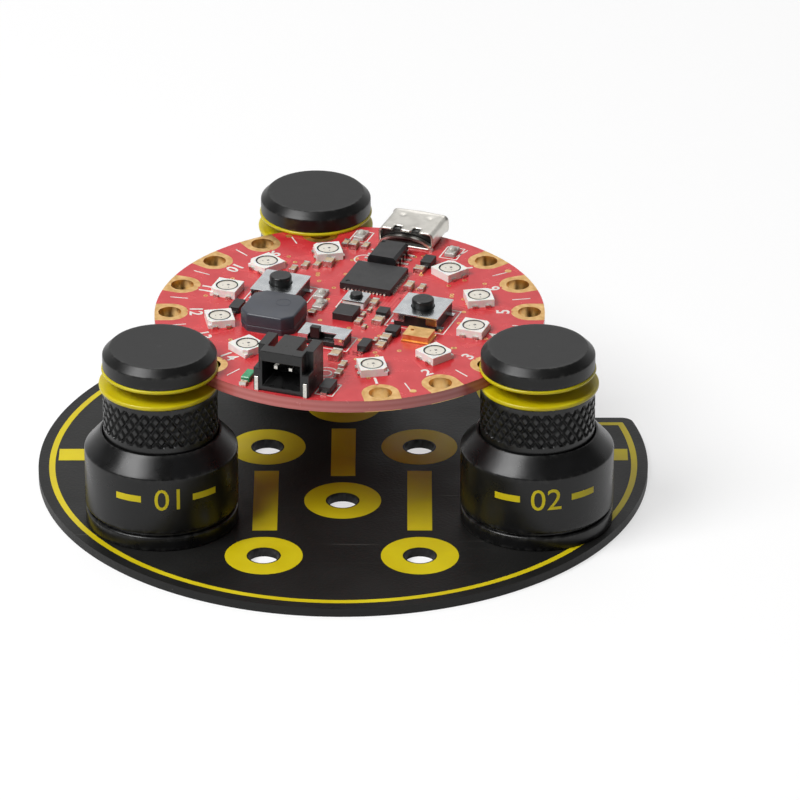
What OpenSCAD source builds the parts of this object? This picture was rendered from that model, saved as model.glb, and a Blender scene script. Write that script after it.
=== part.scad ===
// Magnetic circuit board holder: a round steel base plate, three holders that
// stand on it by magnet and grip the rim of a round circuit board, and the
// board itself with its parts. The origin is the centre of the plate's
// underside, +Z is up and -Y is the front.

/* [Base plate] */
// Diameter of the round plate
plate_d = 80; // [76:1:110]
// Thickness of the plate
plate_t = 1.2; // [1:0.1:3]
// Distance of the notch's left edge from the plate's centre
notch_x = 19.8; // [18:0.2:26]
// Distance of the notch's front edge from the plate's centre
notch_y = 12.4; // [8:0.2:18]
// Radius of the notch's inner corner
notch_corner_r = 9; // [2:0.5:9]
// Radius that rounds the two corners where the notch meets the rim
rim_corner_r = 1.6; // [0.5:0.1:3]
// Diameter of the through holes
hole_d = 4; // [3:0.1:5]
// Spacing of the corner holes from left to right
hole_gap_x = 20; // [16:1:22]
// Spacing of the corner holes from front to back
hole_gap_y = 30; // [22:1:34]
// Distance of the corner holes' centre in front of the plate's centre
hole_shift = 11; // [8:0.5:13]
// Spacing of the two holes on the centre line
hole_gap_mid = 27; // [22:1:30]

/* [Holder foot and housing] */
// Outer diameter of the housing
housing_d = 19.8; // [19:0.1:21]
// Height of the housing's straight wall
housing_wall_h = 7.9; // [7.4:0.1:12]
// Height of the sloping shoulder
shoulder_h = 2.4; // [2:0.1:4]
// Height of the foot's flange
foot_h = 2; // [1.4:0.1:3]
// Height of the groove between foot and housing
groove_h = 0.45; // [0.3:0.05:1]
// Depth of that groove below the foot's rim
groove_depth = 0.55; // [0.3:0.05:0.9]
// Height of the foot's spigot inside the housing
spigot_h = 2.4; // [1.6:0.1:2.6]
// Diameter of the magnet
magnet_d = 14; // [10:0.1:15]
// Thickness of the magnet
magnet_t = 3.4; // [2:0.1:3.6]

/* [Jaws] */
// Diameter of the sliding knurled sleeve
sleeve_d = 14.8; // [14:0.1:15.4]
// Height of the sleeve that shows above the housing
sleeve_show_h = 6.35; // [5:0.05:9]
// Length of the sleeve that stays guided in the housing
guide_len = 3; // [2:0.1:3.4]
// How far the sleeve can be pulled down
jaw_travel = 3; // [1.5:0.1:3.4]
// Thickness of the sleeve's top wall
sleeve_top_t = 2.4; // [1.6:0.1:3]
// Diameter of the spindle
spindle_d = 7; // [6:0.1:8]
// Diameter of the spindle's two fixing ends
tail_d = 4; // [3:0.1:5]
// Mean diameter of the spring's coil
spring_d = 10.2; // [9.6:0.1:10.6]
// Diameter of the spring's wire
wire_d = 0.8; // [0.5:0.05:1]
// Number of spring turns
spring_turns = 5; // [3:1:7]
// Diameter of the cap
cap_d = 14.7; // [13:0.1:16]
// Height of the cap
cap_h = 2.75; // [2.2:0.05:5]
// Size of the cap's top chamfer
cap_chamfer = 0.95; // [0.3:0.05:1.2]
// Diameter of the washer under the cap
upper_washer_d = 15; // [14:0.1:16]
// Thickness of the washer under the cap
upper_washer_t = 0.5; // [0.3:0.05:1]
// Diameter of the washer on the sleeve
lower_washer_d = 15.3; // [14:0.1:16]
// Thickness of the washer on the sleeve
lower_washer_t = 0.6; // [0.3:0.05:1]

/* [Places of the holders] */
// Direction of the left holder from the board's centre, in degrees
left_angle = 214; // [206:1:222]
// Direction of the right holder
right_angle = 326; // [318:1:334]
// Direction of the rear holder
rear_angle = 99; // [97:1:108]
// Gap between the board's rim and the spindles at the two front holders
rim_gap = 0.3; // [0.3:0.1:1]
// The same gap at the rear holder
rear_rim_gap = 1.2; // [0.3:0.1:1.5]

/* [Circuit board] */
// Diameter of the board
board_d = 50.8; // [50:0.1:54]
// Thickness of the board
board_t = 1.6; // [0.8:0.1:2.4]
// Place of the board's centre to the right of the plate's centre
board_x = 0.9; // [-1:0.1:2]
// Place of the board's centre behind the plate's centre
board_y = 1.2; // [-1:0.1:2]
// Turn of the board seen from above, in degrees
board_turn = -20; // [-22:1:-19]
// Diameter of the hole in each rim pad
pad_hole_d = 3; // [2.6:0.1:3.4]
// Width of each rim pad
pad_w = 4.8; // [4.2:0.1:5.2]
// Distance of the pads' holes from the board's rim
pad_inset = 2; // [1.8:0.1:2.3]
// Radius of the ring of coloured lamps
pixel_ring_r = 17.1; // [16.8:0.1:17.4]
// Width of a lamp
pixel_w = 3.5; // [3:0.1:3.6]
// Height of a lamp
pixel_h = 1.05; // [0.8:0.05:1.6]

/* [Sockets, buttons and switch] */
// Width of the USB shell
usb_w = 7.6; // [6.8:0.1:8]
// Length of the USB shell
usb_l = 6; // [5:0.1:6.2]
// Height of the USB shell
usb_h = 2.5; // [2.4:0.1:3.2]
// How far the USB shell stands past the board's rim
usb_overhang = 1.1; // [0.5:0.1:1.6]
// Width of the battery socket
battery_w = 7.5; // [7.1:0.1:8]
// Depth of the battery socket
battery_l = 5.4; // [5:0.1:6]
// Height of the battery socket
battery_h = 5.7; // [5.2:0.1:6.4]
// Width of a push button's case
button_w = 6.2; // [5.6:0.1:6.4]
// Height of a push button's case
button_h = 1.85; // [1.6:0.05:2.6]
// Diameter of a push button's plunger
plunger_d = 2.9; // [2.4:0.1:3.4]
// How far a plunger stands above its cover
plunger_rise = 1.1; // [0.6:0.1:2]
// Travel of the plungers
plunger_travel = 0.25; // [0.1:0.05:0.35]
// Travel of the slide switch's lever
lever_travel = 2; // [1.5:0.1:2.2]
// Width of the buzzer
buzzer_w = 7.4; // [6.8:0.1:7.6]
// Height of the buzzer
buzzer_h = 2.6; // [2.2:0.1:4]

/* [Hidden] */
$fn = 96;
over = 1;             // length by which cutters run past a face
close_fit = 0.05;     // gap on radius where a piece is fixed in another
run_fit = 0.1;        // gap on radius between spindle and sleeve
slide_fit = 0.15;     // gap on radius between sleeve and housing
neck_lip = 0.25;      // width of the housing's top edge
floor_gap = 0.5;      // gap under the sleeve at the end of its travel
edge_chamfer = 0.3;   // chamfer on turned edges
magnet_recess = 0.15; // depth of the magnet behind the foot's face
foot_inset = 0.05;    // foot's rim inside the housing's
washer_play = 0.2;    // gap on radius between spindle and upper washer
washer_slip = 0.25;   // how far the lower washer lies off centre
copper_t = 0.05;      // thickness of plating
sheet_t = 0.2;        // thickness of the covers' sheet metal

foot_top = plate_t + foot_h;
housing_z = foot_top + groove_h;
shoulder_z = housing_z + housing_wall_h;
neck_z = shoulder_z + shoulder_h;
spigot_top = housing_z + spigot_h;
sleeve_z = neck_z - guide_len;
floor_z = sleeve_z - jaw_travel - floor_gap;
sleeve_top = neck_z + sleeve_show_h;
board_z = sleeve_top + lower_washer_t;
board_top = board_z + board_t;
cap_z = board_top + upper_washer_t;
ceiling_z = sleeve_top - sleeve_top_t;

bore_r = sleeve_d / 2 + slide_fit;
neck_r = bore_r + neck_lip;
foot_r = housing_d / 2 - foot_inset;
groove_r = foot_r - groove_depth;
spigot_r = groove_r - 0.7;
spring_seat_r = (spring_d + wire_d) / 2 + 0.4;
tail_len = 1.6;

reach = board_d / 2 + spindle_d / 2 + rim_gap;
rear_reach = board_d / 2 + spindle_d / 2 + rear_rim_gap;

// Small parts' places, in the board's own frame: +Y points at the USB socket
// and the battery socket is opposite. They are for a board of this diameter.
layout_d = 50.8;
pad_step = 20;
pad_ring_r = board_d / 2 - pad_inset;
pad_angles = concat([for (k = [-3:3]) k * pad_step], [for (k = [-3:3]) 180 + k * pad_step]);
pixel_step = 30;
pixel_angles = concat([for (k = [-2:2]) k * pixel_step], [for (k = [-2:2]) 180 + k * pixel_step]);
usb_x = 0.3;
usb_back = layout_d / 2 + usb_overhang;
battery_x = -0.1;
battery_inset = 0.6;
battery_front = -layout_d / 2 + battery_inset;
button_a_at = [-10.2, 1.6];
button_b_at = [9.6, 1.5];
reset_at = [0, 2.55];
reset_size = [3.1, 2.9, 1.1];
reset_plunger_d = 1.6;
switch_at = [-0.1, -8.85];
switch_size = [6.4, 3.2, 1.4];
reset_rise = 0.5;
reset_root = 0.1;     // length of the reset plunger below its cover
button_root = 0.35;   // the same for the push buttons
plunger_fit = 0.1;    // gap on radius round the plungers
lever_size = [1.3, 0.8];
lever_rise = 0.9;
lever_root = 0.5;     // length of the lever below the cover
lever_fit = 0.1;      // gap round the lever in its slot
lever_front = 0.4;    // distance of the lever from the cover's front edge
usb_wall = 0.25;      // sheet thickness of the USB shell
usb_band = 0.35;      // half width, and thickness, of the band behind its inner end
usb_lip = 0.35;       // length of the flared lips at its mouth
tongue_l = 2.8;       // length of the contact tongue
tongue_root = 1.6;    // distance of the tongue from the shell's inner end
insert_t = 1.2;       // thickness of the insert that closes that end
insert_x = 0.5;       // distance of the insert from that end
battery_wall = 0.75;  // wall of the battery socket
battery_beam = 0.75;  // extra thickness of its roof
battery_slot_x = 1.95;
battery_slot_l = 3.7;
battery_notch_w = 0.9;
battery_notch_l = 1.8; // length of the two corners cut away at the front
battery_tab = [0.5, 0.2, 2];
pin_gap = 2;
pin_w = 0.5;
pin_z = 2.6;
pin_shift = -0.25;
buzzer_at = [-8.2, -6.1];
buzzer_corner = 1.3;
processor_at = [-0.1, 9.5];
processor_w = 7;
processor_h = 0.9;
processor_pins = 12;
processor_pitch = 0.5;
processor_lead = 0.3;
memory_at = [-0.6, 16.2];
memory_size = [3.9, 4.9, 1.5];
memory_pitch = 1.27;
motion_at = [0, -1.2];
motion_size = [2.8, 3.1, 0.95];
mic_at = [11.1, -4.3];
mic_size = [3.8, 3, 1.05];
// Status lamps: x, y
lamp_places = [[-6.3, 21.4], [6.7, 20.9], [-5.1, 3.1], [-4.2, 0.2]];
lamp_size = [1.4, 2.4, 1.1];
// Small moulded parts: x, y, width, length
moulded_places = [
    [4.9, 16.6, 1.5, 2.2], [4.5, 0.4, 1.5, 1.7], [7.5, -4.1, 1.6, 1.9],
    [5.5, -9.2, 1.3, 2.4], [-14, -4.3, 1.4, 2.6], [5.1, -21.6, 1.6, 2.6]
];
moulded_h = 0.95;
// Ceramic parts: x, y, width, length, height
ceramic_places = [
    [4.5, 14.2, 1.3, 1.2, 0.7], [4.6, -1.7, 1.3, 1.7, 0.7], [7.3, -6.3, 1.2, 1.6, 0.8],
    [7.3, -8.1, 1.1, 1.6, 0.6], [6.1, -6.9, 0.5, 1, 0.4], [5, 9, 1, 1.8, 0.8],
    [6.6, 9.4, 0.8, 1.6, 0.5], [-7.4, 12.2, 1.2, 1.8, 0.8], [-8.7, 11.2, 0.8, 1.6, 0.5],
    [-10.1, 10.5, 0.8, 1.6, 0.5], [-11.2, 8.9, 0.8, 1.6, 0.5], [-6.1, 18.2, 1, 1.8, 0.8],
    [-7.4, 18.6, 0.8, 1.6, 0.5], [-4.7, 18.8, 0.8, 1.6, 0.4], [2.9, -13, 1.3, 2.1, 0.9],
    [4.6, -14.9, 0.8, 1.6, 0.5], [4.9, -17.2, 0.8, 1.6, 0.5], [2.3, 3.1, 0.9, 1.7, 0.6],
    [2.4, 1, 0.5, 1, 0.4], [2.1, -0.6, 0.5, 1, 0.4], [2.2, -2.6, 0.8, 1.4, 0.5],
    [3.4, -3.8, 0.5, 1, 0.4], [-4.4, -2, 0.8, 1.2, 0.4], [-5.5, -24.1, 0.9, 0.8, 0.5]
];
ceramic_end = 0.22;   // share of a ceramic part's length that each end cap takes
green_at = [-5.6, -22.1];
green_size = [1.2, 2.4, 0.7];

// ---- Helpers ----

// A box centred in x and y that stands on z = 0
module block(size) {
    translate([-size[0] / 2, -size[1] / 2, 0]) cube(size);
}

// A ring that stands on z = 0
module ring(outer_r, inner_r, h) {
    difference() {
        cylinder(r = outer_r, h = h);
        translate([0, 0, -over]) cylinder(r = inner_r, h = h + 2 * over);
    }
}

// A disc whose top edge is chamfered
module chamfered_disc(r, h, chamfer) {
    cylinder(r = r, h = h - chamfer);
    translate([0, 0, h - chamfer]) cylinder(r1 = r, r2 = r - chamfer, h = chamfer);
}

// Moves children to a holder's axis
module at_holder(angle, distance) {
    translate([board_x + distance * cos(angle), board_y + distance * sin(angle), 0])
        rotate(angle) children();
}

// Moves children to the top face of the board, in the board's own frame
module on_board() {
    translate([board_x, board_y, board_top]) rotate(board_turn) children();
}

// The same for the small parts, whose layout grows and shrinks with the board
module on_layout() {
    on_board() scale([board_d / layout_d, board_d / layout_d, 1]) children();
}

// ---- Base plate ----

// The sliver outside a rounding arc about centre, from one direction to another
module corner_cutter(centre, from, to) {
    steps = 6;
    arc = [for (k = [0:steps]) let (a = from + (to - from) * k / steps)
        centre + rim_corner_r * [cos(a), sin(a)]];
    middle = (from + to) / 2;
    linear_extrude(plate_t + 2 * over) polygon(concat(
        [arc[0] + steps * (arc[0] - arc[1])], arc,
        [arc[steps] + steps * (arc[steps] - arc[steps - 1])],
        [centre + 6 * rim_corner_r * [cos(middle), sin(middle)]]
    ));
}

// Distance along the notch's edge of a rounding arc that touches edge and rim
function along_edge(edge) = sqrt(pow(plate_d / 2 - rim_corner_r, 2) - pow(edge - rim_corner_r, 2));

// The notch: a quadrant with a rounded inner corner
module notch_cutter() {
    h = plate_t + 2 * over;
    c = notch_corner_r;
    translate([notch_x + c, notch_y, 0]) cube([plate_d, plate_d, h]);
    translate([notch_x, notch_y + c, 0]) cube([plate_d, plate_d, h]);
    translate([notch_x + c, notch_y + c, 0]) cylinder(r = c, h = h);
}

module plate_hole() {
    cylinder(d = hole_d, h = plate_t + 2 * over);
}

module base_plate() {
    front_corner = [along_edge(notch_y), notch_y - rim_corner_r];
    rear_corner = [notch_x - rim_corner_r, along_edge(notch_x)];
    color("#26272a") difference() {
        cylinder(d = plate_d, h = plate_t, $fn = 180);
        translate([0, 0, -over]) {
            notch_cutter();
            corner_cutter(front_corner, atan2(front_corner[1], front_corner[0]), 90);
            corner_cutter(rear_corner, 0, atan2(rear_corner[1], rear_corner[0]));
            translate([0, -hole_shift, 0]) {
                for (x = [-1, 1], y = [-1, 1])
                    translate([x * hole_gap_x / 2, y * hole_gap_y / 2, 0]) plate_hole();
                for (y = [0, hole_gap_mid]) translate([0, y, 0]) plate_hole();
            }
        }
    }
}

// ---- Holder ----

// Steel foot: a flange, and a spigot that holds the magnet inside the housing
module foot() {
    color("#1d1e20") difference() {
        union() {
            translate([0, 0, plate_t]) chamfered_disc(foot_r, foot_h, edge_chamfer);
            translate([0, 0, foot_top]) cylinder(r = groove_r, h = groove_h);
            translate([0, 0, housing_z]) cylinder(r = spigot_r, h = spigot_h);
        }
        translate([0, 0, plate_t - over])
            cylinder(r = magnet_d / 2 + close_fit, h = over + magnet_recess + magnet_t);
    }
}

module magnet() {
    color("#c9cbd0") translate([0, 0, plate_t + magnet_recess])
        cylinder(d = magnet_d, h = magnet_t);
}

// Turned housing: open above for the sleeve and below for the foot's spigot
module housing() {
    outer_r = housing_d / 2;
    color("#1b1c1e") difference() {
        rotate_extrude() polygon([
            [0, housing_z], [outer_r - edge_chamfer, housing_z],
            [outer_r, housing_z + edge_chamfer], [outer_r, shoulder_z - edge_chamfer],
            [outer_r - edge_chamfer / 2, shoulder_z + edge_chamfer / 2],
            [neck_r, neck_z], [0, neck_z]
        ]);
        translate([0, 0, floor_z]) cylinder(r = bore_r, h = neck_z);
        translate([0, 0, housing_z - over])
            cylinder(r = spigot_r + close_fit, h = over + spigot_h);
        cylinder(d = tail_d, h = neck_z);
    }
}

// Spindle: a post with a fixing end in the housing's floor and one in the cap
module spindle() {
    color("#2b2c2f") {
        translate([0, 0, spigot_top]) cylinder(d = tail_d, h = floor_z - spigot_top);
        translate([0, 0, floor_z]) cylinder(d = spindle_d, h = cap_z - floor_z);
        translate([0, 0, cap_z]) cylinder(d = tail_d, h = tail_len);
    }
}

// A point on the ring of wire at share t of the spring's length
function spring_point(t, side, sides, low, high) =
    let (turn = 360 * spring_turns * t, lean = 360 * side / sides)
    [
        (spring_d / 2 + wire_d / 2 * cos(lean)) * cos(turn),
        (spring_d / 2 + wire_d / 2 * cos(lean)) * sin(turn),
        low + (high - low) * t + wire_d / 2 * sin(lean)
    ];

// Compression spring between the housing's floor and the sleeve's top wall
module spring() {
    sides = 8;
    steps = 14 * spring_turns;
    low = floor_z + wire_d / 2 + close_fit;
    high = ceiling_z - wire_d / 2 - close_fit;
    points = [for (i = [0:steps], s = [0:sides - 1]) spring_point(i / steps, s, sides, low, high)];
    walls = [for (i = [0:steps - 1], s = [0:sides - 1]) [
        i * sides + s, (i + 1) * sides + s,
        (i + 1) * sides + (s + 1) % sides, i * sides + (s + 1) % sides
    ]];
    first = [[for (s = [0:sides - 1]) s]];
    last = [[for (s = [sides - 1:-1:0]) steps * sides + s]];
    color("#b8babd") polyhedron(points, concat(walls, first, last));
}

// Sliding sleeve with a seat for the spring; its knurling is left plain here
module sleeve() {
    color("#202124") difference() {
        translate([0, 0, sleeve_z])
            chamfered_disc(sleeve_d / 2, sleeve_top - sleeve_z, edge_chamfer / 2);
        translate([0, 0, sleeve_z - over])
            cylinder(r = spring_seat_r, h = over + ceiling_z - sleeve_z);
        cylinder(r = spindle_d / 2 + run_fit, h = sleeve_top + over);
    }
}

module lower_washer() {
    color("#c8b400") translate([washer_slip, 0, sleeve_top])
        ring(lower_washer_d / 2, spindle_d / 2 + washer_play + washer_slip, lower_washer_t);
}

module upper_washer() {
    color("#c8b400") translate([0, 0, board_top])
        ring(upper_washer_d / 2, spindle_d / 2 + washer_play, upper_washer_t);
}

module cap() {
    color("#232427") difference() {
        translate([0, 0, cap_z]) chamfered_disc(cap_d / 2, cap_h, cap_chamfer);
        translate([0, 0, cap_z - over]) cylinder(d = tail_d, h = over + tail_len);
    }
}

// ---- Circuit board ----

// Outline of one rim pad, which runs out to the board's rim
module pad_outline() {
    translate([pad_ring_r, 0]) circle(d = pad_w);
    translate([pad_ring_r, -pad_w / 2]) square([pad_w, pad_w]);
}

module circuit_board() {
    color("#c8313a") difference() {
        cylinder(d = board_d, h = board_t, $fn = 180);
        for (a = pad_angles) rotate(a) {
            translate([pad_ring_r, 0, -over])
                cylinder(d = pad_hole_d + 2 * copper_t, h = board_t + 2 * over);
            for (z = [-over, board_t - copper_t]) translate([0, 0, z])
                linear_extrude(over + copper_t) pad_outline();
        }
    }
}

// Plated pads: a barrel through the board with a face on each side
module pad_eyelets() {
    color("#d9a441") for (a = pad_angles) rotate(a) difference() {
        union() {
            translate([pad_ring_r, 0, 0]) cylinder(d = pad_hole_d + 2 * copper_t, h = board_t);
            for (z = [0, board_t - copper_t]) translate([0, 0, z]) intersection() {
                linear_extrude(copper_t) pad_outline();
                rotate(-a) cylinder(d = board_d, h = copper_t, $fn = 180);
            }
        }
        translate([pad_ring_r, 0, -over]) cylinder(d = pad_hole_d, h = board_t + 2 * over);
    }
}

// ---- Sockets ----

module usb_shell() {
    color("#c4c2bd") translate([usb_x, usb_back, 0]) {
        difference() {
            translate([0, -usb_l / 2, 0]) block([usb_w, usb_l, usb_h]);
            translate([0, -usb_l / 2, usb_wall])
                block([usb_w - 2 * usb_wall, usb_l + 2 * over, usb_h - 2 * usb_wall]);
            for (x = [-1, 1]) translate([x * usb_w / 4, -1.6, usb_h - usb_wall - over])
                block([0.6, 0.9, usb_wall + 2 * over]);
            // windows in the top of the inner end
            for (x = [-1, 1]) translate([x * usb_w / 6, -usb_l, usb_h - usb_wall - over])
                block([1.1, 1.2, usb_wall + 2 * over]);
        }
        // flared lips round the mouth
        for (s = [-1, 1]) translate([s * (usb_w + usb_wall) / 2, -usb_lip, usb_wall])
            block([usb_wall, 2 * usb_lip, usb_h * 0.6]);
        // arched rim behind the inner end
        translate([0, -usb_l, 0]) usb_arch();
    }
}

// A flat band bent into half an ellipse, standing on the board
module usb_arch() {
    band = usb_band;
    tall = usb_h * 0.7;
    translate([0, band, 0]) rotate([90, 0, 0]) linear_extrude(2 * band) polygon(concat(
        [for (k = [0:12]) [usb_w / 2 * cos(15 * k), tall * sin(15 * k)]],
        [for (k = [12:-1:0]) [(usb_w / 2 - band) * cos(15 * k), (tall - band) * sin(15 * k)]]
    ));
}

// Moulded insert that closes the shell's inner end and carries the contact tongue
module usb_tongue() {
    inside = usb_h - 2 * usb_wall;
    color("#191919") translate([usb_x, usb_back - usb_l, usb_wall]) {
        translate([0, insert_x + insert_t / 2, 0])
            block([usb_w - 2 * usb_wall, insert_t, inside]);
        translate([0, tongue_root + tongue_l / 2, inside * 0.4])
            block([usb_w * 0.5, tongue_l, inside * 0.3]);
    }
}

module battery_socket() {
    mid_y = battery_front + battery_l / 2;
    color("#1c1c1d") translate([battery_x, mid_y, 0]) difference() {
        block([battery_w, battery_l, battery_h]);
        translate([0, -battery_wall, battery_wall]) block([
            battery_w - 2 * battery_wall - 2 * battery_notch_w + 0.9, battery_l,
            battery_h - 2 * battery_wall - battery_beam
        ]);
        for (s = [-1, 1]) {
            // slots in the roof from the back edge
            translate([s * battery_slot_x, battery_l / 2 - battery_slot_l / 2 + over / 2, battery_h / 2])
                block([0.9, battery_slot_l + over, battery_h]);
            // the front corners are cut away above the solder tabs
            translate([s * battery_w / 2, -battery_l / 2, battery_h * 0.55])
                block([2 * battery_notch_w, 2 * battery_notch_l, battery_h]);
        }
        // holes for the two pins
        for (s = [-1, 1]) translate([s * pin_gap / 2 + pin_shift, battery_l / 2, pin_z])
            block([pin_w, 2 * battery_wall + over, pin_w]);
    }
}

// Two square pins, and the solder tabs at the socket's front
module battery_pins() {
    mid_y = battery_front + battery_l / 2;
    color("#d7d5cf") translate([battery_x, mid_y, 0]) {
        for (s = [-1, 1]) {
            translate([s * pin_gap / 2 + pin_shift, 0, 0]) {
                translate([0, 0.7, pin_z]) block([pin_w, battery_l - 1.4, pin_w]);
                translate([0, (battery_l + pin_w) / 2, 0]) block([pin_w, pin_w, pin_z + pin_w]);
                translate([0, battery_l / 2 + pin_w + 0.4, 0]) block([pin_w, 0.8, 0.25]);
            }
            translate([s * (battery_w - battery_notch_w) / 2, -(battery_l + battery_tab[1]) / 2, 0])
                block(battery_tab);
        }
    }
}

module buzzer() {
    h = buzzer_h * 0.8;
    w = buzzer_w / 2;
    c = buzzer_corner;
    color("#3e4149") translate([buzzer_at[0], buzzer_at[1], 0]) {
        translate([0, 0, buzzer_h - h]) linear_extrude(h) polygon([
            [-w + c, -w], [w - c, -w], [w, -w + c], [w, w - c],
            [w - c, w], [-w + c, w], [-w, w - c], [-w, -w + c]
        ]);
        block([buzzer_w - 0.1, buzzer_w - 0.5, buzzer_h - h]);
    }
}

// ---- Buttons and switch ----

module button_base() {
    color("#161616") difference() {
        block([button_w - 0.3, button_w - 0.3, button_h - sheet_t]);
        translate([0, 0, button_h - sheet_t - button_root - plunger_travel - close_fit])
            cylinder(d = plunger_d + 2 * plunger_fit, h = over);
    }
}

module button_cover() {
    color("#c3c8cc") {
        difference() {
            translate([0, 0, button_h - sheet_t]) block([button_w, button_w, sheet_t]);
            cylinder(d = plunger_d + 2 * plunger_fit, h = button_h + over);
        }
        // folded tabs at the front and back, and solder feet
        for (x = [-1, 1], y = [-1, 1]) {
            translate([x * button_w * 0.36, y * (button_w - 0.15) / 2, 0.7])
                block([button_w * 0.24, 0.15, button_h - sheet_t - 0.7]);
            translate([x * (button_w / 2 + 0.15), y * button_w * 0.35, 0]) block([0.6, 0.8, 0.15]);
        }
    }
}

module button_plunger() {
    h = plunger_rise + sheet_t + button_root;
    color("#1a1a1b") translate([0, 0, button_h + plunger_rise - h])
        chamfered_disc(plunger_d / 2, h, 0.12);
}

module reset_base() {
    color("#d8d8d4") difference() {
        block([reset_size[0] - 0.2, reset_size[1] - 0.2, reset_size[2] - sheet_t]);
        translate([0, 0, reset_size[2] - sheet_t - reset_root - plunger_travel - close_fit])
            cylinder(d = reset_plunger_d + 2 * plunger_fit, h = over);
    }
}

module reset_cover() {
    color("#c9c9c4") difference() {
        translate([0, 0, reset_size[2] - sheet_t]) block([reset_size[0], reset_size[1], sheet_t]);
        cylinder(d = reset_plunger_d + 2 * plunger_fit, h = reset_size[2] + over);
    }
}

module reset_plunger() {
    h = reset_root + sheet_t + reset_rise;
    color("#2f3134") translate([0, 0, reset_size[2] + reset_rise - h])
        chamfered_disc(reset_plunger_d / 2, h, 0.08);
}

// Centre line of the lever's travel, measured from the switch's own centre
function lever_y() = -switch_size[1] / 2 + lever_front + lever_size[1] / 2;

// The slot runs out through the front, the same way in the base and the cover
module lever_slot(z, h) {
    back = lever_y() + lever_size[1] / 2 + lever_fit;
    width = lever_size[0] + lever_travel + 2 * lever_fit;
    translate([-width / 2, -switch_size[1] / 2 - over, z])
        cube([width, switch_size[1] / 2 + over + back, h]);
}

module switch_base() {
    color("#1b1b1b") difference() {
        block([switch_size[0] - 0.2, switch_size[1] - 0.2, switch_size[2] - sheet_t]);
        lever_slot(switch_size[2] - sheet_t - lever_root - close_fit, over);
    }
}

module switch_cover() {
    color("#c6c4be") {
        difference() {
            translate([0, 0, switch_size[2] - sheet_t])
                block([switch_size[0], switch_size[1], sheet_t]);
            lever_slot(0, switch_size[2] + over);
        }
        for (x = [-1, 1]) translate([x * switch_size[0] * 0.39, -(switch_size[1] - 0.1) / 2, 0.5])
            block([switch_size[0] * 0.2, 0.1, switch_size[2] - sheet_t - 0.5]);
    }
}

module switch_lever() {
    color("#151515") translate([-lever_travel / 2, lever_y(), switch_size[2] - sheet_t - lever_root])
        block([lever_size[0], lever_size[1], sheet_t + lever_root + lever_rise]);
}

// ---- Lamps and chips ----

module at_pixels() {
    for (a = pixel_angles) rotate(a) translate([pixel_ring_r, 0, 0]) children();
}

module pixel_cases() {
    color("#eeece6") at_pixels() difference() {
        block([pixel_w, pixel_w, pixel_h]);
        translate([0, 0, pixel_h * 0.4]) cylinder(d = pixel_w * 0.84, h = pixel_h);
        // one corner is cut to mark the first contact
        translate([pixel_w / 2, pixel_w / 2, pixel_h / 2]) rotate(45) block([0.7, 0.7, pixel_h]);
    }
}

module pixel_lenses() {
    color("#dcd8cb") at_pixels() translate([0, 0, pixel_h * 0.4])
        cylinder(d = pixel_w * 0.84, h = pixel_h * 0.55);
}

module processor() {
    color("#232425") translate([processor_at[0], processor_at[1], 0]) difference() {
        block([processor_w, processor_w, processor_h]);
        translate([-processor_w / 2 + 0.8, -processor_w / 2 + 0.8, processor_h - 0.08])
            cylinder(d = 0.6, h = over);
    }
}

module memory_chip() {
    color("#252627") translate([memory_at[0], memory_at[1], 0.1]) difference() {
        block(memory_size);
        translate([-memory_size[0] / 2 + 0.7, memory_size[1] / 2 - 0.7, memory_size[2] - 0.08])
            cylinder(d = 0.6, h = over);
        // sloped long edges
        for (s = [-1, 1]) translate([s * memory_size[0] / 2, 0, memory_size[2]]) rotate([0, 45, 0])
            translate([0, 0, -0.25]) block([0.5, memory_size[1] + over, 0.5]);
    }
}

module motion_sensor() {
    color("#2d2f33") translate([motion_at[0], motion_at[1], 0]) block(motion_size);
}

module microphone() {
    color("#c9a24e") translate([mic_at[0], mic_at[1], 0]) difference() {
        union() {
            block([mic_size[0], mic_size[1], 0.25]);
            translate([0, 0, 0.25])
                block([mic_size[0] - 0.3, mic_size[1] - 0.3, mic_size[2] - 0.25]);
        }
        translate([-mic_size[0] / 4, 0.3, mic_size[2] - 0.3]) cylinder(d = 0.5, h = over);
    }
}

// Clear lamps with a round dome, and a flat green one
module status_lamps() {
    color("#e9e6dc") for (p = lamp_places) translate([p[0], p[1], 0]) {
        block([lamp_size[0], lamp_size[1], lamp_size[2] * 0.5]);
        translate([0, 0, lamp_size[2] * 0.5])
            cylinder(r1 = lamp_size[0] * 0.48, r2 = lamp_size[0] * 0.3, h = lamp_size[2] * 0.5);
    }
    color("#3f9a6b") translate([green_at[0], green_at[1], 0]) block(green_size);
}

module moulded_parts() {
    color("#242526") for (p = moulded_places) translate([p[0], p[1], 0.08])
        block([p[2], p[3], moulded_h - 0.08]);
}

module ceramic_bodies() {
    color("#b89a74") for (p = ceramic_places) translate([p[0], p[1], 0])
        block([p[2] - 0.06, p[3] * (1 - 2 * ceramic_end), p[4] - 0.03]);
}

// A row of bent leads that runs along y, pointing to +x from x = 0
module lead_row(count, pitch, length, width, height) {
    for (k = [0:count - 1]) translate([0, (k - (count - 1) / 2) * pitch, 0]) {
        translate([length / 2, 0, 0]) block([length, width, 0.15]);
        translate([0.1, 0, 0]) block([0.2, width, height]);
    }
}

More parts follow.
